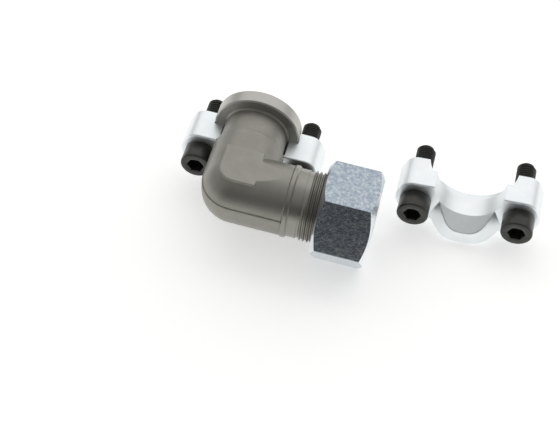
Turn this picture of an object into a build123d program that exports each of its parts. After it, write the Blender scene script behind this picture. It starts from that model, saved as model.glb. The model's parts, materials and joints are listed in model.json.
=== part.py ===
from build123d import *
import os
from math import asin, atan2, cos, hypot, radians, sin, tan

# Pipe elbow with a split-flange head on one leg and a cutting ring union on the other.
# Millimetres, +Z up. It lies as on a bench, on the belly of the half flange under its neck and on the
# edge of its nut, with the second half flange beside it. The origin is the centre of the flange's
# sealing face, and +Y leaves the flange along its axis.

# Flange head, neck and forged corner
HEAD_D = 44.45
HEAD_T = 8.0
HEAD_EDGE = 0.7
NECK_D = 33.0
NECK_REACH = 3.0
NECK_FILLET = 0.7
FORGED_STEP = 1.25
FORGED_EDGE = 1.0
COLLAR_LAP = 0.5
PASSAGE_D = 20.0

# Face seal and its groove
SEAL_INSET = 4.0
SEAL_CORD = 3.53
GROOVE_DEPTH = 2.8
GROOVE_ROOM = 0.3
SEAL_LIFT = 0.05

# Flat marking pad on the top of the corner, and the parting line of the forging
PAD_SINK = 1.2
PAD_LEFT = 9.4
PAD_RIGHT = 10.0
PAD_FRONT = 9.3
PAD_BACK = 12.5
PAD_CORNER = 8.5
PAD_RUN_OUT = 12.0
FLASH_Z = 3.5
FLASH_W = 1.2
FLASH_H = 0.4

# Tube leg: collar, land, thread core, tube socket and 24 degree cone
TUBE_D = 25.0
TUBE_ROOM = 0.05
LEG_B = 53.0
SOCKET_DEPTH = 12.0
CONE_RISE = 1.45
CONE_ANGLE = 12.0
THREAD_WALL = 5.5
THREAD_DEPTH = 1.23
THREAD_LEAD_IN = 1.0
COLLAR_X = 26.0
COLLAR_W = 3.0
COLLAR_STEP = 0.3
COLLAR_EDGE = 0.6
LAND_W = 5.0
LAND_STEP = 0.7

# Union nut
NUT_WALL = 5.0
NUT_L = 28.0
NUT_ENGAGED = 10.5
NUT_RIM = 1.5
NUT_CHAMFER = 30.0
NUT_THREAD_L = 14.5
NUT_THREAD_ROOM = 0.1
NUT_MOUTH = 1.0
NUT_BORE_ROOM = 0.25
NUT_EXIT = 0.8
NUT_CORNER = 0.6

# Cutting ring
RING_REACH = 3.0
RING_ROOM = 0.1
RING_WALL = 2.7
RING_STEP = 0.6
RING_HEEL = 0.6
RING_GAP = 0.3

# Half flange
SCREW_OUT = 3.96
BELLY_WALL = 7.275
LUG_R = 10.5
LUG_T = 18.5
LUG_CORNER = 7.0
SPLIT_GAP = 1.0
RECESS_ROOM = 0.275
RECESS_DEPTH = 7.5
SADDLE_ROOM = 1.0
NOSE_H = 9.0
NOSE_ROOM = 4.185
NOSE_LEAN = 22.5
NOSE_FLANK = 48.0
NOSE_ROUND = 12.0
SADDLE_FLARE = 24.0
HALF_EDGE = 0.8
MOUTH_EDGE = 0.6
HOLE_ROOM = 0.4

# Socket head screws
SCREW_D = 10.0
SCREW_L = 35.0
SCREW_TIP = 1.2
SCREW_HEAD_D = 16.0
SCREW_HEAD_H = 10.0
SCREW_HEAD_EDGE = 0.8
SOCKET_AF = 8.0
SOCKET_T = 5.0

# The loose half flange, beside the mounted one
LOOSE_GAP = 5.615
LOOSE_Y = -3.4

# Worked out from the values above
HEAD_R = HEAD_D / 2
NECK_R = NECK_D / 2
FORGED_R = NECK_R + FORGED_STEP
SEAL_R = HEAD_R - SEAL_INSET
THREAD_R = TUBE_D / 2 + THREAD_WALL
COLLAR_R = THREAD_R + COLLAR_STEP
COLLAR_END = COLLAR_X + COLLAR_W
LAND_R = THREAD_R - LAND_STEP
THREAD_X = COLLAR_END + LAND_W
CORE_R = THREAD_R - THREAD_DEPTH
SOCKET_R = TUBE_D / 2 + TUBE_ROOM
CONE_MOUTH_R = TUBE_D / 2 + CONE_RISE
CONE_SLOPE = tan(radians(CONE_ANGLE))
CONE_START = LEG_B - (CONE_MOUTH_R - SOCKET_R) / CONE_SLOPE
HALF_BACK_Y = RECESS_DEPTH - HEAD_T
SEAT_Y = HALF_BACK_Y - LUG_T
NECK_END = NECK_REACH - SEAT_Y
LEG_A = SCREW_HEAD_H - SEAT_Y + max(COLLAR_R, FORGED_R) - COLLAR_LAP
FLASH_R = (FORGED_R**2 - FLASH_Z**2) ** 0.5 + FLASH_H
NUT_HALF_AF = THREAD_R + NUT_WALL
NUT_FACE_R = NUT_HALF_AF - NUT_RIM
NUT_X = LEG_B - NUT_ENGAGED
NUT_END = NUT_X + NUT_L
NUT_THREAD_R = THREAD_R + NUT_THREAD_ROOM
NUT_SEAT_X = NUT_X + NUT_THREAD_L
NUT_BORE_R = TUBE_D / 2 + NUT_BORE_ROOM
NUT_FOOT_X = NUT_END - NUT_RIM * tan(radians(NUT_CHAMFER))
SCREW_X = HEAD_R + SCREW_OUT
SCREW_Z = SCREW_X / 2
BELLY_R = HEAD_R + BELLY_WALL
RECESS_R = HEAD_R + RECESS_ROOM
SADDLE_R = NECK_R + SADDLE_ROOM
HOLE_R = SCREW_D / 2 + HOLE_ROOM
NOSE_TOP_X = SCREW_X - SCREW_HEAD_D / 2 - NOSE_ROOM
LOOSE_X = NUT_END + LOOSE_GAP + SCREW_X + LUG_R
OVERSIZE = 4 * (SCREW_X + LUG_R)

# The elbow leans about the flange axis until the lower edge of its nut meets the bench
LEAN = asin(BELLY_R / hypot(NUT_FOOT_X, NUT_HALF_AF)) - atan2(NUT_HALF_AF, NUT_FOOT_X)
LEG_DIR = Vector(cos(LEAN), 0, -sin(LEAN))
UP_DIR = Vector(sin(LEAN), 0, cos(LEAN))
FRONT_DIR = Vector(0, -1, 0)
mid_plane = Plane((0, 0, 0), x_dir=LEG_DIR, z_dir=UP_DIR)
flange_axis = Axis.Y
tube_axis = Axis((0, -LEG_A, 0), LEG_DIR)

os.makedirs("parts", exist_ok=True)


# Elbow: one forging with a turned flange leg and a turned tube leg
with BuildPart() as elbow:
    with BuildSketch(mid_plane) as flange_leg:
        with BuildLine():
            Polyline(
                (0, -HEAD_T),
                (NECK_R, -HEAD_T),
                (NECK_R, -NECK_END),
                (FORGED_R, -NECK_END),
                (FORGED_R, -LEG_A),
                (0, -LEG_A),
                close=True,
            )
        make_face()
        fillet(flange_leg.vertices().sort_by_distance((FORGED_R, -NECK_END))[0], FORGED_EDGE)
    revolve(axis=flange_axis)
    with BuildSketch(mid_plane):
        with BuildLine():
            Polyline(
                (0, -LEG_A),
                (0, FORGED_R - LEG_A),
                (COLLAR_X, FORGED_R - LEG_A),
                (COLLAR_X, LAND_R - LEG_A),
                (THREAD_X, LAND_R - LEG_A),
                (THREAD_X, CORE_R - LEG_A),
                (LEG_B - THREAD_LEAD_IN, CORE_R - LEG_A),
                (LEG_B, CORE_R - THREAD_LEAD_IN - LEG_A),
                (LEG_B, -LEG_A),
                close=True,
            )
        make_face()
    revolve(axis=tube_axis)
    with Locations((0, -LEG_A, 0)):
        Sphere(FORGED_R)
    # Flat pad on the top of the corner: it lies below the crowns of the two legs, with a run-out to each,
    # and stands out of the rounded corner at its front and left
    pad_z = FORGED_R - PAD_SINK
    with BuildSketch(mid_plane.offset(pad_z)) as pad:
        with Locations((PAD_RIGHT, PAD_BACK - LEG_A)):
            Rectangle(
                PAD_LEFT + PAD_RIGHT,
                PAD_FRONT + PAD_BACK,
                align=(Align.MAX, Align.MAX),
            )
        fillet(pad.vertices().group_by(Axis.Y)[0].sort_by(Axis.X)[0], PAD_CORNER)
    extrude(amount=-pad_z)
    extrude(pad.sketch, amount=2 * FORGED_R, mode=Mode.SUBTRACT)
    run_outs = (
        (-PAD_LEFT, Vector(0, 1, 0), LEG_DIR, PAD_LEFT + PAD_RIGHT),
        (PAD_RIGHT, LEG_DIR, FRONT_DIR, PAD_FRONT + PAD_BACK),
    )
    for start_x, run_dir, across_dir, width in run_outs:
        start = mid_plane.from_local_coords((start_x, PAD_BACK - LEG_A, pad_z))
        with BuildSketch(Plane(start, x_dir=run_dir, z_dir=across_dir)):
            with BuildLine():
                Polyline((0, 0), (2 * PAD_RUN_OUT, 2 * PAD_SINK), (0, 2 * PAD_SINK), close=True)
            make_face()
        extrude(amount=width, mode=Mode.SUBTRACT)
    # Parting line, a low ridge all round the forging, a little above its middle
    with BuildSketch(mid_plane.offset(FLASH_Z)):
        with Locations((0, -LEG_A)):
            Circle(FLASH_R)
            Rectangle(COLLAR_X, 2 * FLASH_R, align=(Align.MIN, Align.CENTER))
            Rectangle(2 * FLASH_R, LEG_A - NECK_END, align=(Align.CENTER, Align.MIN))
    extrude(amount=FLASH_W / 2, both=True)
    # Flange head and collar, with broken edges
    with BuildSketch(mid_plane):
        with BuildLine():
            Polyline(
                (0, 0),
                (HEAD_R - HEAD_EDGE, 0),
                (HEAD_R, -HEAD_EDGE),
                (HEAD_R, HEAD_EDGE - HEAD_T),
                (HEAD_R - HEAD_EDGE, -HEAD_T),
                (NECK_R + NECK_FILLET, -HEAD_T),
                (NECK_R, -HEAD_T - NECK_FILLET),
                (0, -HEAD_T - NECK_FILLET),
                close=True,
            )
        make_face()
    revolve(axis=flange_axis)
    with BuildSketch(mid_plane):
        with BuildLine():
            Polyline(
                (COLLAR_X, -LEG_A),
                (COLLAR_X, COLLAR_R - COLLAR_EDGE - LEG_A),
                (COLLAR_X + COLLAR_EDGE, COLLAR_R - LEG_A),
                (COLLAR_END - COLLAR_EDGE, COLLAR_R - LEG_A),
                (COLLAR_END, COLLAR_R - COLLAR_EDGE - LEG_A),
                (COLLAR_END, -LEG_A),
                close=True,
            )
        make_face()
    revolve(axis=tube_axis)
    # Passage with a round inside corner, tube socket and cone
    with BuildSketch(mid_plane):
        with BuildLine():
            Polyline((0, 0), (PASSAGE_D / 2, 0), (PASSAGE_D / 2, -LEG_A), (0, -LEG_A), close=True)
        make_face()
    revolve(axis=flange_axis, mode=Mode.SUBTRACT)
    with BuildSketch(mid_plane):
        with BuildLine():
            Polyline(
                (0, -LEG_A),
                (0, PASSAGE_D / 2 - LEG_A),
                (LEG_B - SOCKET_DEPTH, PASSAGE_D / 2 - LEG_A),
                (LEG_B - SOCKET_DEPTH, SOCKET_R - LEG_A),
                (CONE_START, SOCKET_R - LEG_A),
                (LEG_B, CONE_MOUTH_R - LEG_A),
                (LEG_B, -LEG_A),
                close=True,
            )
        make_face()
    revolve(axis=tube_axis, mode=Mode.SUBTRACT)
    with Locations((0, -LEG_A, 0)):
        Sphere(PASSAGE_D / 2, mode=Mode.SUBTRACT)
    # Groove for the face seal
    with BuildSketch(mid_plane):
        with Locations((SEAL_R, -GROOVE_DEPTH)):
            Rectangle(SEAL_CORD + 2 * GROOVE_ROOM, GROOVE_DEPTH, align=(Align.CENTER, Align.MIN))
    revolve(axis=flange_axis, mode=Mode.SUBTRACT)
elbow.part.label = "elbow_body"
export_step(elbow.part, "parts/elbow_body.step")


# Face seal: a rubber ring on the floor of its groove, standing a little proud of the face
with BuildPart() as seal:
    with BuildSketch(mid_plane):
        with Locations((SEAL_R, SEAL_CORD / 2 + SEAL_LIFT - GROOVE_DEPTH)):
            Circle(SEAL_CORD / 2)
    revolve(axis=flange_axis)
seal.part.label = "face_seal"
export_step(seal.part, "parts/face_seal.step")


# Union nut: a hexagon with both ends turned to a chamfer, bored for the thread, the ring and the tube
nut_plane = Plane((0, -LEG_A, 0), x_dir=(0, 1, 0), z_dir=LEG_DIR)
nut_corner_r = NUT_HALF_AF / cos(radians(30))
nut_chamfer_run = (nut_corner_r - NUT_FACE_R) * tan(radians(NUT_CHAMFER))
with BuildPart() as nut:
    with BuildSketch(nut_plane.offset(NUT_X)):
        hexagon = RegularPolygon(NUT_HALF_AF, 6, major_radius=False)
        fillet(hexagon.vertices(), NUT_CORNER)
    extrude(amount=NUT_L)
    with BuildSketch(mid_plane):
        with BuildLine():
            Polyline(
                (NUT_X, -LEG_A),
                (NUT_X, NUT_FACE_R - LEG_A),
                (NUT_X + nut_chamfer_run, nut_corner_r - LEG_A),
                (NUT_END - nut_chamfer_run, nut_corner_r - LEG_A),
                (NUT_END, NUT_FACE_R - LEG_A),
                (NUT_END, -LEG_A),
                close=True,
            )
        make_face()
    revolve(axis=tube_axis, mode=Mode.INTERSECT)
    with BuildSketch(mid_plane):
        with BuildLine():
            Polyline(
                (NUT_X, -LEG_A),
                (NUT_X, NUT_THREAD_R + NUT_MOUTH - LEG_A),
                (NUT_X + NUT_MOUTH, NUT_THREAD_R - LEG_A),
                (NUT_SEAT_X, NUT_THREAD_R - LEG_A),
                (NUT_SEAT_X + NUT_THREAD_R - NUT_BORE_R, NUT_BORE_R - LEG_A),
                (NUT_END - NUT_EXIT, NUT_BORE_R - LEG_A),
                (NUT_END, NUT_BORE_R + NUT_EXIT - LEG_A),
                (NUT_END, -LEG_A),
                close=True,
            )
        make_face()
    revolve(axis=tube_axis, mode=Mode.SUBTRACT)
nut.part.label = "union_nut"
export_step(nut.part, "parts/union_nut.step")


# Cutting ring: its nose lies in the elbow's cone, and its heel faces the 45 degree seat in the nut
ring_in_r = TUBE_D / 2 + RING_ROOM
ring_mouth_r = CONE_MOUTH_R - RING_GAP
ring_tip_r = ring_mouth_r - RING_REACH * CONE_SLOPE
ring_collar_r = TUBE_D / 2 + RING_WALL
ring_heel_r = ring_in_r + RING_HEEL
ring_seat_x = NUT_SEAT_X + NUT_THREAD_R - RING_GAP / sin(radians(45))
with BuildPart() as ring:
    with BuildSketch(mid_plane):
        with BuildLine():
            Polyline(
                (LEG_B - RING_REACH, ring_in_r - LEG_A),
                (LEG_B - RING_REACH, ring_tip_r - LEG_A),
                (LEG_B, ring_mouth_r - LEG_A),
                (LEG_B + RING_STEP, ring_mouth_r - LEG_A),
                (LEG_B + RING_STEP, ring_collar_r - LEG_A),
                (ring_seat_x - ring_collar_r, ring_collar_r - LEG_A),
                (ring_seat_x - ring_heel_r, ring_heel_r - LEG_A),
                (ring_seat_x - ring_heel_r, ring_in_r - LEG_A),
                close=True,
            )
        make_face()
    revolve(axis=tube_axis)
ring.part.label = "cutting_ring"
export_step(ring.part, "parts/cutting_ring.step")


# Back faces of the two half flanges: x to the right, y up, and the nose towards the front
half_backs = {
    "mounted": Plane((0, HALF_BACK_Y, 0), x_dir=LEG_DIR, z_dir=FRONT_DIR),
    "loose": Plane((LOOSE_X, LOOSE_Y + HALF_BACK_Y, 0), x_dir=(1, 0, 0), z_dir=FRONT_DIR),
}
flank_reach = NOSE_H + OVERSIZE
crease_y = -((SADDLE_R**2 - NOSE_TOP_X**2) ** 0.5)
# The shoulders' rounds meet at most in the middle of the nose's front
nose_front_half = NOSE_TOP_X - NOSE_H * tan(radians(NOSE_FLANK)) * cos(radians(NOSE_LEAN))
nose_round = min(NOSE_ROUND, nose_front_half / tan(radians((90 - NOSE_FLANK) / 2)))


def off_axis(edge, back):
    """How far the middle of an edge lies from the axis of its half flange."""
    return (edge.center() - back.origin).cross(FRONT_DIR).length


for place, back in half_backs.items():
    with BuildPart() as half:
        # Plate with two lugs and a round belly, cut off at the split
        with BuildSketch(back) as outline:
            Circle(BELLY_R)
            with Locations((-SCREW_X, -SCREW_Z), (SCREW_X, -SCREW_Z)):
                Circle(LUG_R)
            make_hull()
            with Locations((0, -SPLIT_GAP)):
                Rectangle(OVERSIZE, OVERSIZE, align=(Align.CENTER, Align.MIN), mode=Mode.SUBTRACT)
            fillet(outline.vertices().group_by(Axis.Y)[-1], LUG_CORNER)
        extrude(amount=LUG_T)
        fillet(half.faces().sort_by(Axis.Y)[-1].edges(), HALF_EDGE)
        # Nose in front of the seats, with sloping flanks that leave room for the screw heads
        with BuildSketch(back.offset(LUG_T)):
            Circle(BELLY_R)
            with Locations((0, -SPLIT_GAP)):
                Rectangle(OVERSIZE, OVERSIZE, align=(Align.CENTER, Align.MIN), mode=Mode.SUBTRACT)
        extrude(amount=NOSE_H)
        creases = []
        for side in (-1, 1):
            lean_sin = sin(radians(NOSE_LEAN))
            lean_cos = cos(radians(NOSE_LEAN))
            crease = Plane(
                back.from_local_coords((side * NOSE_TOP_X, crease_y, LUG_T)),
                x_dir=back.x_dir * (side * lean_cos) + back.y_dir * lean_sin,
                z_dir=back.x_dir * lean_sin - back.y_dir * (side * lean_cos),
            )
            with BuildSketch(crease):
                with BuildLine():
                    Polyline(
                        (0, 0),
                        (flank_reach, 0),
                        (flank_reach, flank_reach),
                        (-flank_reach * tan(radians(NOSE_FLANK)), flank_reach),
                        close=True,
                    )
                make_face()
            extrude(amount=OVERSIZE, both=True, mode=Mode.SUBTRACT)
            creases.append(Axis(crease.origin, crease.z_dir))
        # Saddle for the neck, which leaves the nose with two shoulders to round
        with BuildSketch(back):
            Circle(SADDLE_R)
        extrude(amount=LUG_T + NOSE_H, mode=Mode.SUBTRACT)
        nose_front = half.faces().sort_by(Axis.Y)[0]
        fillet(nose_front.edges().filter_by(GeomType.LINE), nose_round)
        # Broken edges round the nose and the seats, but not in the creases between them
        nose_rounds = half.faces().sort_by(Axis.Y)[0].edges().filter_by(GeomType.CIRCLE)
        fillet(nose_rounds.sort_by(SortBy.RADIUS)[-1], HALF_EDGE)
        seat_y = back.origin.Y - LUG_T
        seat_edges = half.edges().filter_by_position(Axis.Y, seat_y, seat_y)
        for crease_axis in creases:
            seat_edges = seat_edges.filter_by(crease_axis, reverse=True)
        seat_edges = seat_edges.filter_by(lambda edge: off_axis(edge, back) > SADDLE_R + HALF_EDGE)
        fillet(seat_edges, HALF_EDGE)
        # Recess for the head behind the saddle and flare in front
        with BuildSketch(back):
            Circle(RECESS_R)
        extrude(amount=RECESS_DEPTH, mode=Mode.SUBTRACT)
        with BuildSketch(back.offset(LUG_T)):
            Circle(SADDLE_R)
        extrude(amount=NOSE_H, taper=-SADDLE_FLARE, mode=Mode.SUBTRACT)
        # Broken edge round the mouth of the flare
        mouth_r = SADDLE_R + NOSE_H * tan(radians(SADDLE_FLARE)) + MOUTH_EDGE
        front_edges = half.edges().filter_by_position(Axis.Y, seat_y - NOSE_H, seat_y, inclusive=(True, False))
        fillet(front_edges.filter_by(lambda edge: off_axis(edge, back) < mouth_r), MOUTH_EDGE)
        # Screw holes
        with BuildSketch(back):
            with Locations((-SCREW_X, -SCREW_Z), (SCREW_X, -SCREW_Z)):
                Circle(HOLE_R)
        extrude(amount=LUG_T, mode=Mode.SUBTRACT)
    half.part.label = f"{place}_half_flange"
    export_step(half.part, f"parts/{place}_half_flange.step")

    # Socket head screws, with their heads on the seats and their tips behind the back face
    for side_name, side in (("left", -1), ("right", 1)):
        seat = Plane(
            back.from_local_coords((side * SCREW_X, -SCREW_Z, LUG_T)),
            x_dir=back.x_dir,
            z_dir=FRONT_DIR,
        )
        with BuildPart() as screw:
            with BuildSketch(seat):
                Circle(SCREW_HEAD_D / 2)
            extrude(amount=SCREW_HEAD_H)
            fillet(screw.faces().sort_by(Axis.Y)[0].edges(), SCREW_HEAD_EDGE)
            with BuildSketch(seat):
                Circle(SCREW_D / 2)
            extrude(amount=-SCREW_L)
            chamfer(screw.faces().sort_by(Axis.Y)[-1].edges(), SCREW_TIP)
            with BuildSketch(seat.offset(SCREW_HEAD_H)):
                RegularPolygon(SOCKET_AF / 2, 6, major_radius=False)
            extrude(amount=-SOCKET_T, mode=Mode.SUBTRACT)
        screw.part.label = f"{place}_screw_{side_name}"
        export_step(screw.part, f"parts/{place}_screw_{side_name}.step")
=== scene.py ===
import json
from math import atan2, cos, pi, radians, sin, tan

import bpy
from mathutils import Matrix, Vector


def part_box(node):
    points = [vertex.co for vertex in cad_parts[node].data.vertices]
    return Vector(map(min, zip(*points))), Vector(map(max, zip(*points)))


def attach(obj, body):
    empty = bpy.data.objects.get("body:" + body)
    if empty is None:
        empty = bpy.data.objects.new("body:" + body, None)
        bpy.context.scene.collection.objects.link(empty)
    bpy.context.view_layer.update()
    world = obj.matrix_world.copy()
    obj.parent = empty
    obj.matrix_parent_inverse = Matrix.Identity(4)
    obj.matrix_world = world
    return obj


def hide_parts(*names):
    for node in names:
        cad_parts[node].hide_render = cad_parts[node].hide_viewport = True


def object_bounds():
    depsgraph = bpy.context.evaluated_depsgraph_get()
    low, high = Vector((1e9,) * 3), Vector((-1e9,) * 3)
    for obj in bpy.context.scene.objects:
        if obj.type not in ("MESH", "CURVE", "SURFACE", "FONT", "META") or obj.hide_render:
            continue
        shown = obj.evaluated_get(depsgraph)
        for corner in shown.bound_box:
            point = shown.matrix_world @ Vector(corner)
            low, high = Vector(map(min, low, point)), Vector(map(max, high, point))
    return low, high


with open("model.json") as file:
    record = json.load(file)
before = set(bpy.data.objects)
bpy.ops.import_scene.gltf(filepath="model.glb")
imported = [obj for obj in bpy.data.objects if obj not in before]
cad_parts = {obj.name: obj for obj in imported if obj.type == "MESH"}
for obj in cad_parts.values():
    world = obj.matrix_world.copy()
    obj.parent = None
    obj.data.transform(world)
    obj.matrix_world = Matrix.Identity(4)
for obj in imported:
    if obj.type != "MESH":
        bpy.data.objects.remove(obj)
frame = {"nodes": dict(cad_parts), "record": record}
cad_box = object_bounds()
bpy.ops.object.select_all(action="DESELECT")

# The elbow is one steel forging with a flat pad and a parting line at its corner.
# Both of its legs are turned and bored, and the whole piece is then phosphated.
MM = 0.001
FORGED_GREY = "#9b9992"
FORGED_DARK = "#84827a"
FORGED_CLOUD = 7.0 * MM
FORGED_SKIN = 1.1 * MM
FORGED_GRAIN = 0.3 * MM
FORGED_ROUGH = 0.44
FORGED_ROUNDING = 0.8 * MM
# Paler grey of the turned head: partly its finish, partly painted light from above on its rim
HEAD_TURNED_AND_LIT_GREY = "#aeada7"
TURNED_FROM_Y = -8.1 * MM
TURNED_FROM_X = 25.9 * MM
TURNED_FEED = 0.9 * MM
TURNED_SMOOTHER = -0.08
# A wave texture of scale 1 repeats after this length
WAVE_PERIOD = pi / 10

# The tube leg leaves the corner along the joint's axis, which droops a little
joints = {joint["name"]: joint for joint in frame["record"]["behaviour"]["joints"]}
leg_dir = Vector(joints["nut_turn"]["axis"])
lean = atan2(-leg_dir.z, leg_dir.x)
corner = Vector((0, joints["nut_turn"]["pos_m"][1], 0))
# With these inputs, a mapping measures a pattern from the corner, with X along the tube leg
leg_mapping = {"Location": corner, "Rotation": (0, lean, 0)}


def linear(hex_colour):
    """A hex sRGB colour as the linear RGBA that a shader takes."""
    shares = [int(hex_colour[place:place + 2], 16) / 255 for place in (1, 3, 5)]
    return (*(s / 12.92 if s <= 0.04045 else ((s + 0.055) / 1.055) ** 2.4 for s in shares), 1)


def add_node(material, kind, inputs=None, **settings):
    """Adds a node, sets its properties, and gives each named input a value or a link."""
    node = material.node_tree.nodes.new(kind)
    for name, value in settings.items():
        setattr(node, name, value)
    for socket, value in (inputs or {}).items():
        if isinstance(value, bpy.types.NodeSocket):
            material.node_tree.links.new(value, node.inputs[socket])
        else:
            node.inputs[socket].default_value = value
    return node


def new_finish(name, metallic, roughness):
    """A node material with its own shader, and the place that its patterns read."""
    finish = bpy.data.materials.new(name)
    finish.use_nodes = True
    shader = finish.node_tree.nodes["Principled BSDF"]
    shader.inputs["Metallic"].default_value = metallic
    shader.inputs["Roughness"].default_value = roughness
    place = add_node(finish, "ShaderNodeTexCoord").outputs["Object"]
    return finish, shader, place


def coat(finish, shader, colour, normal):
    """Links a finish's colour and bump to its shader."""
    finish.node_tree.links.new(colour.outputs["Color"], shader.inputs["Base Color"])
    finish.node_tree.links.new(normal.outputs["Normal"], shader.inputs["Normal"])


def dress(node, finish):
    """Gives a solid of the frame its finish."""
    slots = frame["nodes"][node].data.materials
    slots.clear()
    slots.append(finish)


# Phosphate is a thin crystalline coat on the forged skin. It scatters most of the light, so the
# eye sees soft grey shading with faint clouds, a slightly uneven skin, edges softened by the die
# and no sharp reflection. The flange head and the tube end are turned under it, so they are
# smoother, with crisp edges and feed lines drawn coarse to show. The head is painted paler too,
# partly for its turned finish and partly as painted light, the light from above on its rim.
phosphated, shader, place = new_finish("phosphated_forged_steel", metallic=0.8, roughness=FORGED_ROUGH)
cloud = add_node(
    phosphated,
    "ShaderNodeTexNoise",
    {"Vector": place, "Scale": 1 / FORGED_CLOUD, "Detail": 5, "Roughness": 0.6},
)
skin = add_node(
    phosphated,
    "ShaderNodeTexNoise",
    {"Vector": place, "Scale": 1 / FORGED_SKIN, "Detail": 3, "Roughness": 0.6},
)
grain = add_node(
    phosphated,
    "ShaderNodeTexNoise",
    {"Vector": place, "Scale": 1 / FORGED_GRAIN, "Detail": 2},
)
forged_tone = add_node(
    phosphated,
    "ShaderNodeMixRGB",
    {"Fac": cloud.outputs["Fac"], "Color1": linear(FORGED_DARK), "Color2": linear(FORGED_GREY)},
)
along_flange = add_node(
    phosphated,
    "ShaderNodeMapping",
    {"Vector": place, "Rotation": (0, 0, pi / 2)},
    vector_type="TEXTURE",
).outputs["Vector"]
along_leg = add_node(
    phosphated,
    "ShaderNodeMapping",
    {"Vector": place, **leg_mapping},
    vector_type="TEXTURE",
).outputs["Vector"]
turned_ends = []
for along, start in ((along_flange, TURNED_FROM_Y), (along_leg, TURNED_FROM_X)):
    reach = add_node(phosphated, "ShaderNodeSeparateXYZ", {"Vector": along})
    turned_end = add_node(
        phosphated,
        "ShaderNodeMath",
        {0: reach.outputs["X"], 1: start},
        operation="GREATER_THAN",
    )
    turned_ends.append(turned_end.outputs["Value"])
on_head, on_leg = turned_ends
turned_area = add_node(phosphated, "ShaderNodeMath", {0: on_head, 1: on_leg}, operation="MAXIMUM")
# The head's paler grey is partly its turned finish and partly painted light on its rim from above
tone = add_node(
    phosphated,
    "ShaderNodeMixRGB",
    {"Fac": on_head, "Color1": forged_tone.outputs["Color"], "Color2": linear(HEAD_TURNED_AND_LIT_GREY)},
)
gloss = add_node(
    phosphated,
    "ShaderNodeMath",
    {0: turned_area.outputs["Value"], 1: TURNED_SMOOTHER, 2: FORGED_ROUGH},
    operation="MULTIPLY_ADD",
)
phosphated.node_tree.links.new(gloss.outputs["Value"], shader.inputs["Roughness"])
turning = add_node(
    phosphated,
    "ShaderNodeMixRGB",
    {"Fac": on_leg, "Color1": along_flange, "Color2": along_leg},
)
feed = add_node(
    phosphated,
    "ShaderNodeTexWave",
    {
        "Vector": turning.outputs["Color"],
        "Scale": WAVE_PERIOD / TURNED_FEED,
        "Distortion": 0.6,
        "Detail": 1,
    },
    bands_direction="X",
)
feed_lines = add_node(
    phosphated,
    "ShaderNodeMath",
    {0: feed.outputs["Fac"], 1: turned_area.outputs["Value"]},
    operation="MULTIPLY",
)
rounding = add_node(
    phosphated,
    "ShaderNodeMath",
    {0: turned_area.outputs["Value"], 1: -FORGED_ROUNDING, 2: FORGED_ROUNDING},
    operation="MULTIPLY_ADD",
)
normal = add_node(phosphated, "ShaderNodeBevel", {"Radius": rounding.outputs["Value"]}, samples=8)
for height, strength, depth in (
    (feed_lines.outputs["Value"], 0.35, 0.04 * MM),
    (skin.outputs["Fac"], 0.25, 0.06 * MM),
    (grain.outputs["Fac"], 0.3, 0.03 * MM),
):
    normal = add_node(
        phosphated,
        "ShaderNodeBump",
        {"Height": height, "Strength": strength, "Distance": depth, "Normal": normal.outputs["Normal"]},
    )
coat(phosphated, shader, tone, normal)
dress("elbow_body", phosphated)

# The tube leg's thread is cut in the same forging, right-handed and with a fine pitch of 2 mm.
# The elbow's solid is turned to the core, and this ridge stands on it and fades out at both ends.
TUBE_THREAD_START = 35.4 * MM
TUBE_THREAD_END = 51.6 * MM
TUBE_THREAD_PITCH = 2.0 * MM
TUBE_CREST_R = 18.0 * MM
TUBE_CORE_R = 16.77 * MM
THREAD_FLANK = tan(radians(30))
THREAD_CREST_SHARE = 1 / 16
THREAD_BURIED = 0.12 * MM
THREAD_FADE = 0.4
THREAD_STEPS = 72
THREAD_SMOOTH = radians(25)

leg_place = Matrix.Translation(corner) @ Matrix.Rotation(lean, 4, "Y")


def helical_ridge(name, start, end, pitch, crest_r, foot_r, crest_half, steps):
    """A right-hand ridge along +X, screwed from one profile, with closed ends that fade out."""
    turns = (end - start) / pitch
    outward = 1 if crest_r > foot_r else -1
    buried_r = foot_r - outward * THREAD_BURIED
    foot_half = crest_half + abs(crest_r - buried_r) * THREAD_FLANK
    bpy.ops.mesh.primitive_plane_add(size=MM)
    ridge = bpy.context.object
    ridge.name = name
    profile = (
        (-foot_half, buried_r),
        (foot_half, buried_r),
        (-crest_half, crest_r),
        (crest_half, crest_r),
    )
    for vertex, (along, out) in zip(ridge.data.vertices, profile):
        vertex.co = (start + along, 0, out)
    screw = ridge.modifiers.new("helix", "SCREW")
    screw.axis = "X"
    screw.angle = 2 * pi * turns
    screw.screw_offset = turns * pitch
    screw.steps = round(steps * turns)
    screw.render_steps = screw.steps
    bpy.ops.object.modifier_apply(modifier=screw.name)
    # Each step of the helix repeats the profile's corners, and the crests sink to the foot at both ends
    corners = len(profile)
    last_step = len(ridge.data.vertices) // corners - 1
    for vertex in ridge.data.vertices:
        step = vertex.index // corners
        height = min(1, step / (steps * THREAD_FADE), (last_step - step) / (steps * THREAD_FADE))
        out = Vector((0, vertex.co.y, vertex.co.z))
        vertex.co += out.normalized() * ((out.length - buried_r) * (height - 1))
    bpy.ops.object.mode_set(mode="EDIT")
    bpy.ops.mesh.select_all(action="SELECT")
    bpy.ops.mesh.fill_holes(sides=corners)
    bpy.ops.mesh.normals_make_consistent(inside=False)
    bpy.ops.object.mode_set(mode="OBJECT")
    return ridge


tube_thread = helical_ridge(
    "tube_thread",
    TUBE_THREAD_START,
    TUBE_THREAD_END,
    TUBE_THREAD_PITCH,
    TUBE_CREST_R,
    TUBE_CORE_R,
    TUBE_THREAD_PITCH * THREAD_CREST_SHARE,
    THREAD_STEPS,
)
tube_thread.data.transform(leg_place)
tube_thread.data.materials.append(phosphated)
bpy.ops.object.shade_smooth_by_angle(angle=THREAD_SMOOTH)
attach(tube_thread, "fitting")

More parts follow.
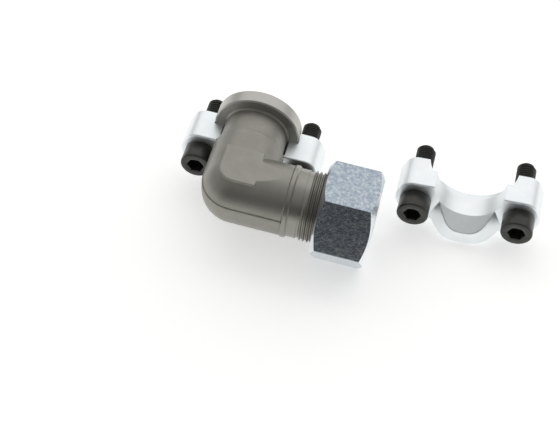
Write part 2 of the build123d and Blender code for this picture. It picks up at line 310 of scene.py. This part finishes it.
# The face seal is an O-ring of nitrile rubber, moulded in one piece.
# It lies in the groove of the flange face and stands a little proud of it.
RUBBER_BLACK = "#141414"
RUBBER_BLOOM = "#232322"
RUBBER_CLOUD = 3.0 * MM
RUBBER_GRAIN = 0.25 * MM

# Moulded nitrile rubber is a matt black with a faint grey bloom and a broad, weak highlight.
# Its fine grain is drawn coarse to show.
rubber, shader, place = new_finish("moulded_nitrile_rubber", metallic=0, roughness=0.55)
cloud = add_node(
    rubber,
    "ShaderNodeTexNoise",
    {"Vector": place, "Scale": 1 / RUBBER_CLOUD, "Detail": 3},
)
grain = add_node(
    rubber,
    "ShaderNodeTexNoise",
    {"Vector": place, "Scale": 1 / RUBBER_GRAIN, "Detail": 2},
)
tone = add_node(
    rubber,
    "ShaderNodeMixRGB",
    {"Fac": cloud.outputs["Fac"], "Color1": linear(RUBBER_BLACK), "Color2": linear(RUBBER_BLOOM)},
)
bump = add_node(
    rubber,
    "ShaderNodeBump",
    {"Height": grain.outputs["Fac"], "Strength": 0.2, "Distance": 0.02 * MM},
)
coat(rubber, shader, tone, bump)
dress("face_seal", rubber)

# The cutting ring is turned from steel bar and hardened.
# Its nose lies in the cone of the tube leg, and the nut presses on its heel.
RING_STEEL = "#a9a8a4"
RING_SHADE = "#8f8e8a"
RING_FEED = 0.35 * MM

# Turned steel is a bright grey metal with fine feed lines round its axis, drawn coarse to show.
turned, shader, place = new_finish("turned_ring_steel", metallic=1, roughness=0.3)
along_leg = add_node(
    turned,
    "ShaderNodeMapping",
    {"Vector": place, **leg_mapping},
    vector_type="TEXTURE",
).outputs["Vector"]
feed = add_node(
    turned,
    "ShaderNodeTexWave",
    {"Vector": along_leg, "Scale": WAVE_PERIOD / RING_FEED, "Distortion": 1, "Detail": 1},
    bands_direction="X",
)
tone = add_node(
    turned,
    "ShaderNodeMixRGB",
    {"Fac": feed.outputs["Fac"], "Color1": linear(RING_SHADE), "Color2": linear(RING_STEEL)},
)
bump = add_node(
    turned,
    "ShaderNodeBump",
    {"Height": feed.outputs["Fac"], "Strength": 0.2, "Distance": 0.02 * MM},
)
coat(turned, shader, tone, bump)
dress("cutting_ring", turned)

# The union nut is turned from drawn hexagon bar, bored and threaded, and then bright zinc plated.
# Its thread draws it along the tube leg, one pitch for each turn.
NUT_THREAD_START = 44.4 * MM
NUT_THREAD_END = 56.0 * MM
NUT_BORE_R = 18.1 * MM
NUT_CREST_R = 16.92 * MM
NUT_CREST_HALF = 0.2 * MM
NUT_BLUE = "#828f9e"
NUT_ZINC = "#9aa3aa"
NUT_PALE = "#b7bdc1"
NUT_TONES = ((0.4, NUT_BLUE), (0.5, NUT_ZINC), (0.62, NUT_PALE))
NUT_BRIGHT_ROUGH = 0.21
NUT_MILKY_ROUGH = 0.25
# Whiter colour of the ends and chamfers: partly the turned finish, partly a painted highlight
NUT_TURNED_AND_HIGHLIT = "#d6dbde"
NUT_HIGHLIT_END_FACING = 0.5
NUT_DULL = "#5a5c5e"
NUT_DULL_R = 13.7 * MM
NUT_MOTTLE = 1.6 * MM
NUT_DRAWN_LENGTH = 12.0 * MM
NUT_DRAWN_WIDTH = 0.4 * MM
NUT_SPECK = 0.8 * MM

# Bright zinc plate is a bluish white metal. It mirrors softly, in bluish and greyer patches with
# small milky specks where the bath dried, and the drawn bar shows as faint lines along the flats.
# The ends and their chamfers are turned, and are painted whiter: partly their turned finish, and
# partly a painted highlight, the light line on the chamfer that faces the elbow. Little zinc reaches
# the tube bore, which stays dull.
bright_zinc, shader, place = new_finish("bright_zinc_plate", metallic=1, roughness=NUT_BRIGHT_ROUGH)
mottle = add_node(
    bright_zinc,
    "ShaderNodeTexNoise",
    {"Vector": place, "Scale": 1 / NUT_MOTTLE, "Detail": 8, "Roughness": 0.78},
)
flats = add_node(bright_zinc, "ShaderNodeValToRGB", {"Fac": mottle.outputs["Fac"]})
flats.color_ramp.elements.new(NUT_TONES[1][0])
for stop, (position, colour) in zip(flats.color_ramp.elements, NUT_TONES):
    stop.position = position
    stop.color = linear(colour)
milky = add_node(
    bright_zinc,
    "ShaderNodeMapRange",
    {
        "Value": mottle.outputs["Fac"],
        "From Min": 0.4,
        "From Max": 0.7,
        "To Min": NUT_BRIGHT_ROUGH,
        "To Max": NUT_MILKY_ROUGH,
    },
)
bright_zinc.node_tree.links.new(milky.outputs["Result"], shader.inputs["Roughness"])
facing = add_node(bright_zinc, "ShaderNodeNewGeometry").outputs["True Normal"]
facing_leg = add_node(
    bright_zinc,
    "ShaderNodeVectorMath",
    {0: facing, 1: leg_dir},
    operation="DOT_PRODUCT",
)
facing_either_end = add_node(
    bright_zinc,
    "ShaderNodeMath",
    {0: facing_leg.outputs["Value"]},
    operation="ABSOLUTE",
)
# Faces along the leg's axis, the ends and chamfers, are painted whiter: partly their turned finish,
# partly a painted highlight
ends = add_node(
    bright_zinc,
    "ShaderNodeMath",
    {0: facing_either_end.outputs["Value"], 1: NUT_HIGHLIT_END_FACING},
    operation="GREATER_THAN",
)
outside = add_node(
    bright_zinc,
    "ShaderNodeMixRGB",
    {"Fac": ends.outputs["Value"], "Color1": flats.outputs["Color"], "Color2": linear(NUT_TURNED_AND_HIGHLIT)},
)
from_corner = add_node(
    bright_zinc,
    "ShaderNodeMapping",
    {"Vector": place, **leg_mapping},
    vector_type="TEXTURE",
).outputs["Vector"]
across_leg = add_node(
    bright_zinc,
    "ShaderNodeVectorMath",
    {0: from_corner, 1: (0, 1, 1)},
    operation="MULTIPLY",
)
off_leg = add_node(
    bright_zinc,
    "ShaderNodeVectorMath",
    {0: across_leg.outputs["Vector"]},
    operation="LENGTH",
)
bore = add_node(
    bright_zinc,
    "ShaderNodeMath",
    {0: off_leg.outputs["Value"], 1: NUT_DULL_R},
    operation="LESS_THAN",
)
tone = add_node(
    bright_zinc,
    "ShaderNodeMixRGB",
    {"Fac": bore.outputs["Value"], "Color1": outside.outputs["Color"], "Color2": linear(NUT_DULL)},
)
drawn_size = (NUT_DRAWN_LENGTH, NUT_DRAWN_WIDTH, NUT_DRAWN_WIDTH)
along_flats = add_node(
    bright_zinc,
    "ShaderNodeMapping",
    {"Vector": place, "Scale": drawn_size, **leg_mapping},
    vector_type="TEXTURE",
).outputs["Vector"]
drawn = add_node(
    bright_zinc,
    "ShaderNodeTexNoise",
    {"Vector": along_flats, "Scale": 1, "Detail": 3},
)
speck = add_node(
    bright_zinc,
    "ShaderNodeTexNoise",
    {"Vector": place, "Scale": 1 / NUT_SPECK, "Detail": 3},
)
low_bump = add_node(
    bright_zinc,
    "ShaderNodeBump",
    {"Height": drawn.outputs["Fac"], "Strength": 0.2, "Distance": 0.03 * MM},
)
bump = add_node(
    bright_zinc,
    "ShaderNodeBump",
    {
        "Height": speck.outputs["Fac"],
        "Strength": 0.8,
        "Distance": 0.06 * MM,
        "Normal": low_bump.outputs["Normal"],
    },
)
coat(bright_zinc, shader, tone, bump)
dress("union_nut", bright_zinc)

nut_thread = helical_ridge(
    "nut_thread",
    NUT_THREAD_START,
    NUT_THREAD_END,
    TUBE_THREAD_PITCH,
    NUT_CREST_R,
    NUT_BORE_R,
    NUT_CREST_HALF,
    THREAD_STEPS,
)
nut_thread.data.transform(leg_place)
nut_thread.data.materials.append(bright_zinc)
bpy.ops.object.shade_smooth_by_angle(angle=THREAD_SMOOTH)
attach(nut_thread, "nut")

# The two half flanges are drop forged from steel, blasted, and zinc plated.
# Each takes half of the neck in its saddle, and its recess holds the head down.
HALF_ZINC = "#ecf0f1"
HALF_SHADE = "#dbdfe1"
HALF_CLOUD = 9.0 * MM
HALF_SKIN = 1.6 * MM
HALF_GRIT = 0.45 * MM

# Zinc plate over blasted steel is a pale satin metal. The marks of the grit, drawn coarse to show,
# break its reflection into a soft even sheen, and the forged skin leaves it a little uneven.
satin_zinc, shader, place = new_finish("zinc_plate_on_blasted_steel", metallic=1, roughness=0.45)
cloud = add_node(
    satin_zinc,
    "ShaderNodeTexNoise",
    {"Vector": place, "Scale": 1 / HALF_CLOUD, "Detail": 5, "Roughness": 0.6},
)
skin = add_node(
    satin_zinc,
    "ShaderNodeTexNoise",
    {"Vector": place, "Scale": 1 / HALF_SKIN, "Detail": 2},
)
grit = add_node(
    satin_zinc,
    "ShaderNodeTexNoise",
    {"Vector": place, "Scale": 1 / HALF_GRIT, "Detail": 2},
)
tone = add_node(
    satin_zinc,
    "ShaderNodeMixRGB",
    {"Fac": cloud.outputs["Fac"], "Color1": linear(HALF_SHADE), "Color2": linear(HALF_ZINC)},
)
low_bump = add_node(
    satin_zinc,
    "ShaderNodeBump",
    {"Height": skin.outputs["Fac"], "Strength": 0.25, "Distance": 0.1 * MM},
)
bump = add_node(
    satin_zinc,
    "ShaderNodeBump",
    {
        "Height": grit.outputs["Fac"],
        "Strength": 0.35,
        "Distance": 0.05 * MM,
        "Normal": low_bump.outputs["Normal"],
    },
)
coat(satin_zinc, shader, tone, bump)
dress("mounted_half_flange", satin_zinc)
dress("loose_half_flange", satin_zinc)

# Four socket head cap screws, cold headed from alloy steel, thread rolled, hardened and blackened.
# Two stand in each half flange, with their heads on its seats and their tips out behind it.
SCREW_HEAD_R = 8.0 * MM
SCREW_HEAD_H = 10.0 * MM
SCREW_HEAD_EDGE = 0.8 * MM
SCREW_FOOT_EDGE = 0.3 * MM
SCREW_CREST_R = 5.0 * MM
SCREW_CORE_R = 4.08 * MM
SCREW_PLAIN = 3.2 * MM
SCREW_END = 45.0 * MM
SCREW_TIP = 1.2 * MM
SCREW_PITCH = 1.5 * MM
SCREW_CREST_HALF = 0.14 * MM
SCREW_STEPS = 48
SOCKET_SIDES = 6
SOCKET_AF = 8.0 * MM
SOCKET_DEPTH = 5.0 * MM
SOCKET_EDGE = 0.1 * MM
SOCKET_CLEAR = 1.0 * MM
SOCKET_SINK_SPREAD = tan(radians(60))
SCREW_FACETS = 96
SCREW_SMOOTH = radians(32)
SCREW_BLACK = "#2c2c2b"
SCREW_WORN = "#42413d"
SCREW_CLOUD = 4.0 * MM
SCREW_GRAIN = 0.3 * MM
NEAR = 0.01 * MM


def pick(piece, kind, passes):
    """Selects the faces or edges whose corners all pass a test, and stays in edit mode."""
    bpy.ops.object.mode_set(mode="EDIT")
    bpy.ops.mesh.select_mode(type=kind)
    bpy.ops.mesh.select_all(action="DESELECT")
    bpy.ops.object.mode_set(mode="OBJECT")
    corners = piece.data.vertices
    for part in piece.data.polygons if kind == "FACE" else piece.data.edges:
        part.select = all(passes(corners[index].co) for index in part.vertices)
    bpy.ops.object.mode_set(mode="EDIT")


def combine(piece, tool, operation):
    """Cuts or adds one closed shape, and removes the shape."""
    boolean = piece.modifiers.new("combine", "BOOLEAN")
    boolean.operation = operation
    boolean.solver = "EXACT"
    boolean.object = tool
    bpy.context.view_layer.objects.active = piece
    bpy.ops.object.modifier_apply(modifier=boolean.name)
    bpy.data.objects.remove(tool)


# Thread of one screw. Its crests are drawn a little wider than rolled ones, so that they show,
# and its last turn is cut down to the tip's chamfer.
screw_thread = helical_ridge(
    "screw_thread",
    SCREW_HEAD_H + SCREW_PLAIN + SCREW_PITCH / 2,
    SCREW_END - SCREW_PITCH / 2,
    SCREW_PITCH,
    SCREW_CREST_R,
    SCREW_CORE_R,
    SCREW_CREST_HALF,
    SCREW_STEPS,
)
for vertex in screw_thread.data.vertices:
    out = Vector((0, vertex.co.y, vertex.co.z))
    room = SCREW_CREST_R - max(0, vertex.co.x - (SCREW_END - SCREW_TIP))
    vertex.co += out.normalized() * (min(out.length, room) - out.length)

# Head, plain neck, core and tip, drawn out one from another along +X
bpy.ops.mesh.primitive_cylinder_add(
    vertices=SCREW_FACETS,
    radius=SCREW_HEAD_R,
    depth=SCREW_HEAD_H,
    location=(SCREW_HEAD_H / 2, 0, 0),
    rotation=(0, pi / 2, 0),
)
screw = bpy.context.object
bpy.ops.object.transform_apply(location=True, rotation=True, scale=True)
pick(screw, "EDGE", lambda co: co.x < NEAR)
bpy.ops.mesh.bevel(offset=SCREW_HEAD_EDGE, segments=5, affect="EDGES")
pick(screw, "EDGE", lambda co: co.x > SCREW_HEAD_H - NEAR)
bpy.ops.mesh.bevel(offset=SCREW_FOOT_EDGE, segments=2, affect="EDGES")
pick(screw, "FACE", lambda co: co.x > SCREW_HEAD_H - NEAR)
bpy.ops.mesh.inset(thickness=SCREW_HEAD_R - SCREW_FOOT_EDGE - SCREW_CREST_R)
bpy.ops.mesh.extrude_region_move(TRANSFORM_OT_translate={"value": (SCREW_PLAIN, 0, 0)})
bpy.ops.mesh.inset(thickness=SCREW_CREST_R - SCREW_CORE_R)
bpy.ops.mesh.extrude_region_move(
    TRANSFORM_OT_translate={"value": (SCREW_END - SCREW_HEAD_H - SCREW_PLAIN - SCREW_TIP / 2, 0, 0)}
)
bpy.ops.mesh.extrude_region_move(TRANSFORM_OT_translate={"value": (SCREW_TIP / 2, 0, 0)})
tip_share = (SCREW_CREST_R - SCREW_TIP) / SCREW_CORE_R
bpy.ops.transform.resize(value=(1, tip_share, tip_share), center_override=(SCREW_END, 0, 0))
bpy.ops.object.mode_set(mode="OBJECT")
combine(screw, screw_thread, "UNION")

# Hexagon socket, and a flat countersink from in front of the head that breaks its mouth
socket_corner_r = SOCKET_AF / 2 / cos(pi / SOCKET_SIDES)
bpy.ops.mesh.primitive_cylinder_add(
    vertices=SOCKET_SIDES,
    radius=socket_corner_r,
    depth=2 * SOCKET_DEPTH,
    rotation=(0, pi / 2, 0),
)
combine(screw, bpy.context.object, "DIFFERENCE")
sink_r = socket_corner_r + SOCKET_EDGE + SOCKET_CLEAR * SOCKET_SINK_SPREAD
sink_depth = sink_r / SOCKET_SINK_SPREAD
bpy.ops.mesh.primitive_cone_add(
    vertices=SCREW_FACETS,
    radius1=sink_r,
    radius2=0,
    depth=sink_depth,
    location=(sink_depth / 2 - SOCKET_CLEAR, 0, 0),
    rotation=(0, pi / 2, 0),
)
combine(screw, bpy.context.object, "DIFFERENCE")

# Black oxide on hardened steel is a dark, slightly oily skin with a fine grain, drawn coarse to show.
# It shines a little on the head, and looks dead black in the socket and between the threads.
black_oxide, shader, place = new_finish("black_oxide_on_steel", metallic=0.5, roughness=0.34)
cloud = add_node(
    black_oxide,
    "ShaderNodeTexNoise",
    {"Vector": place, "Scale": 1 / SCREW_CLOUD, "Detail": 4, "Roughness": 0.6},
)
grain = add_node(
    black_oxide,
    "ShaderNodeTexNoise",
    {"Vector": place, "Scale": 1 / SCREW_GRAIN, "Detail": 2},
)
tone = add_node(
    black_oxide,
    "ShaderNodeMixRGB",
    {"Fac": cloud.outputs["Fac"], "Color1": linear(SCREW_BLACK), "Color2": linear(SCREW_WORN)},
)
bump = add_node(
    black_oxide,
    "ShaderNodeBump",
    {"Height": grain.outputs["Fac"], "Strength": 0.25, "Distance": 0.03 * MM},
)
coat(black_oxide, shader, tone, bump)
screw.data.materials.clear()
screw.data.materials.append(black_oxide)
bpy.ops.object.select_all(action="DESELECT")
screw.select_set(True)
bpy.context.view_layer.objects.active = screw
bpy.ops.object.shade_smooth_by_angle(angle=SCREW_SMOOTH)

for node in ("mounted_screw_left", "mounted_screw_right", "loose_screw_left", "loose_screw_right"):
    low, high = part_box(node)
    head_centre = Vector(((low.x + high.x) / 2, low.y, (low.z + high.z) / 2))
    copy = screw.copy()
    copy.data = screw.data.copy()
    copy.name = f"{node}_threaded"
    copy.data.transform(Matrix.Translation(head_centre) @ Matrix.Rotation(pi / 2, 4, "Z"))
    bpy.context.collection.objects.link(copy)
    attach(copy, "fitting")
    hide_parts(node)
bpy.data.objects.remove(screw)

# A plain pale floor under the fitting. It shows white to the camera and whiter in the metal,
# as an overexposed sheet does, and its matt part keeps the soft shadow.
FLOOR_SIZE = 20.0
FLOOR_WHITE = "#e6e6e4"
FLOOR_SEEN_GLOW = 0.5
FLOOR_MIRRORED_GLOW = 0.75
bpy.ops.mesh.primitive_plane_add(size=FLOOR_SIZE, location=(0, 0, cad_box[0][2]))
floor = bpy.context.object
floor.name = "floor"
paper = bpy.data.materials.new("white_paper_sweep")
paper.use_nodes = True
paper.node_tree.nodes.clear()
path = add_node(paper, "ShaderNodeLightPath")
seen = add_node(
    paper,
    "ShaderNodeMath",
    {0: path.outputs["Is Camera Ray"], 1: FLOOR_SEEN_GLOW},
    operation="MULTIPLY",
)
glow = add_node(
    paper,
    "ShaderNodeMath",
    {0: path.outputs["Is Glossy Ray"], 1: FLOOR_MIRRORED_GLOW, 2: seen.outputs["Value"]},
    operation="MULTIPLY_ADD",
)
matt = add_node(paper, "ShaderNodeBsdfDiffuse", {"Color": linear(FLOOR_WHITE)})
shine = add_node(paper, "ShaderNodeEmission", {"Strength": glow.outputs["Value"]})
both = add_node(
    paper,
    "ShaderNodeAddShader",
    {0: matt.outputs["BSDF"], 1: shine.outputs["Emission"]},
)
add_node(paper, "ShaderNodeOutputMaterial", {"Surface": both.outputs["Shader"]})
floor.data.materials.append(paper)

# Plain studio light: one broad soft box above and behind, in a grey tent that is open at the front.
# The dark opening is what the bright metal mirrors on the faces that lean towards it.
SOFT_BOX_PLACE = Vector((0.1, 1.2, 1.2))
SOFT_BOX_WIDTH = 3.6
SOFT_BOX_HEIGHT = 2.0
SOFT_BOX_POWER = 15.8
OPENING = Vector((0, -0.99, 0.14))
TENT_TONES = ((0.1, 0.58), (0.6, 0.42), (0.95, 0.08))
tent = bpy.data.worlds.new("grey_tent")
bpy.context.scene.world = tent
tent.use_nodes = True
outlook = add_node(tent, "ShaderNodeTexCoord").outputs["Generated"]
towards = add_node(tent, "ShaderNodeVectorMath", {0: outlook, 1: OPENING}, operation="DOT_PRODUCT")
cloth = add_node(tent, "ShaderNodeValToRGB", {"Fac": towards.outputs["Value"]})
cloth.color_ramp.interpolation = "EASE"
cloth.color_ramp.elements.new(TENT_TONES[1][0])
for stop, (position, tone_grey) in zip(cloth.color_ramp.elements, TENT_TONES):
    stop.position = position
    stop.color = (tone_grey, tone_grey, tone_grey, 1)
tent.node_tree.links.new(cloth.outputs["Color"], tent.node_tree.nodes["Background"].inputs["Color"])
bpy.ops.object.light_add(type="AREA", location=SOFT_BOX_PLACE)
soft_box = bpy.context.object
soft_box.name = "overhead_soft_box"
soft_box.data.shape = "RECTANGLE"
soft_box.data.size = SOFT_BOX_WIDTH
soft_box.data.size_y = SOFT_BOX_HEIGHT
soft_box.data.energy = SOFT_BOX_POWER
soft_box.rotation_euler = SOFT_BOX_PLACE.to_track_quat("Z", "Y").to_euler()

# The camera looks down on the fitting, from the front and a little from the right,
# at the angle and distance and with the lens that were fitted to the photograph.
VIEW_TARGET = Vector((0.02534, -0.06049, 0))
VIEW_AZIMUTH = radians(13.78)
VIEW_ELEVATION = radians(50.99)
VIEW_DISTANCE = 0.6342
VIEW_LENS = 83.57
back = Vector(
    (
        sin(VIEW_AZIMUTH) * cos(VIEW_ELEVATION),
        -cos(VIEW_AZIMUTH) * cos(VIEW_ELEVATION),
        sin(VIEW_ELEVATION),
    )
)
bpy.ops.object.camera_add(
    location=VIEW_TARGET + back * VIEW_DISTANCE,
    rotation=back.to_track_quat("Z", "Y").to_euler(),
)
camera = bpy.context.object
camera.data.lens = VIEW_LENS
bpy.context.scene.camera = camera
bpy.context.scene.view_settings.view_transform = "Standard"
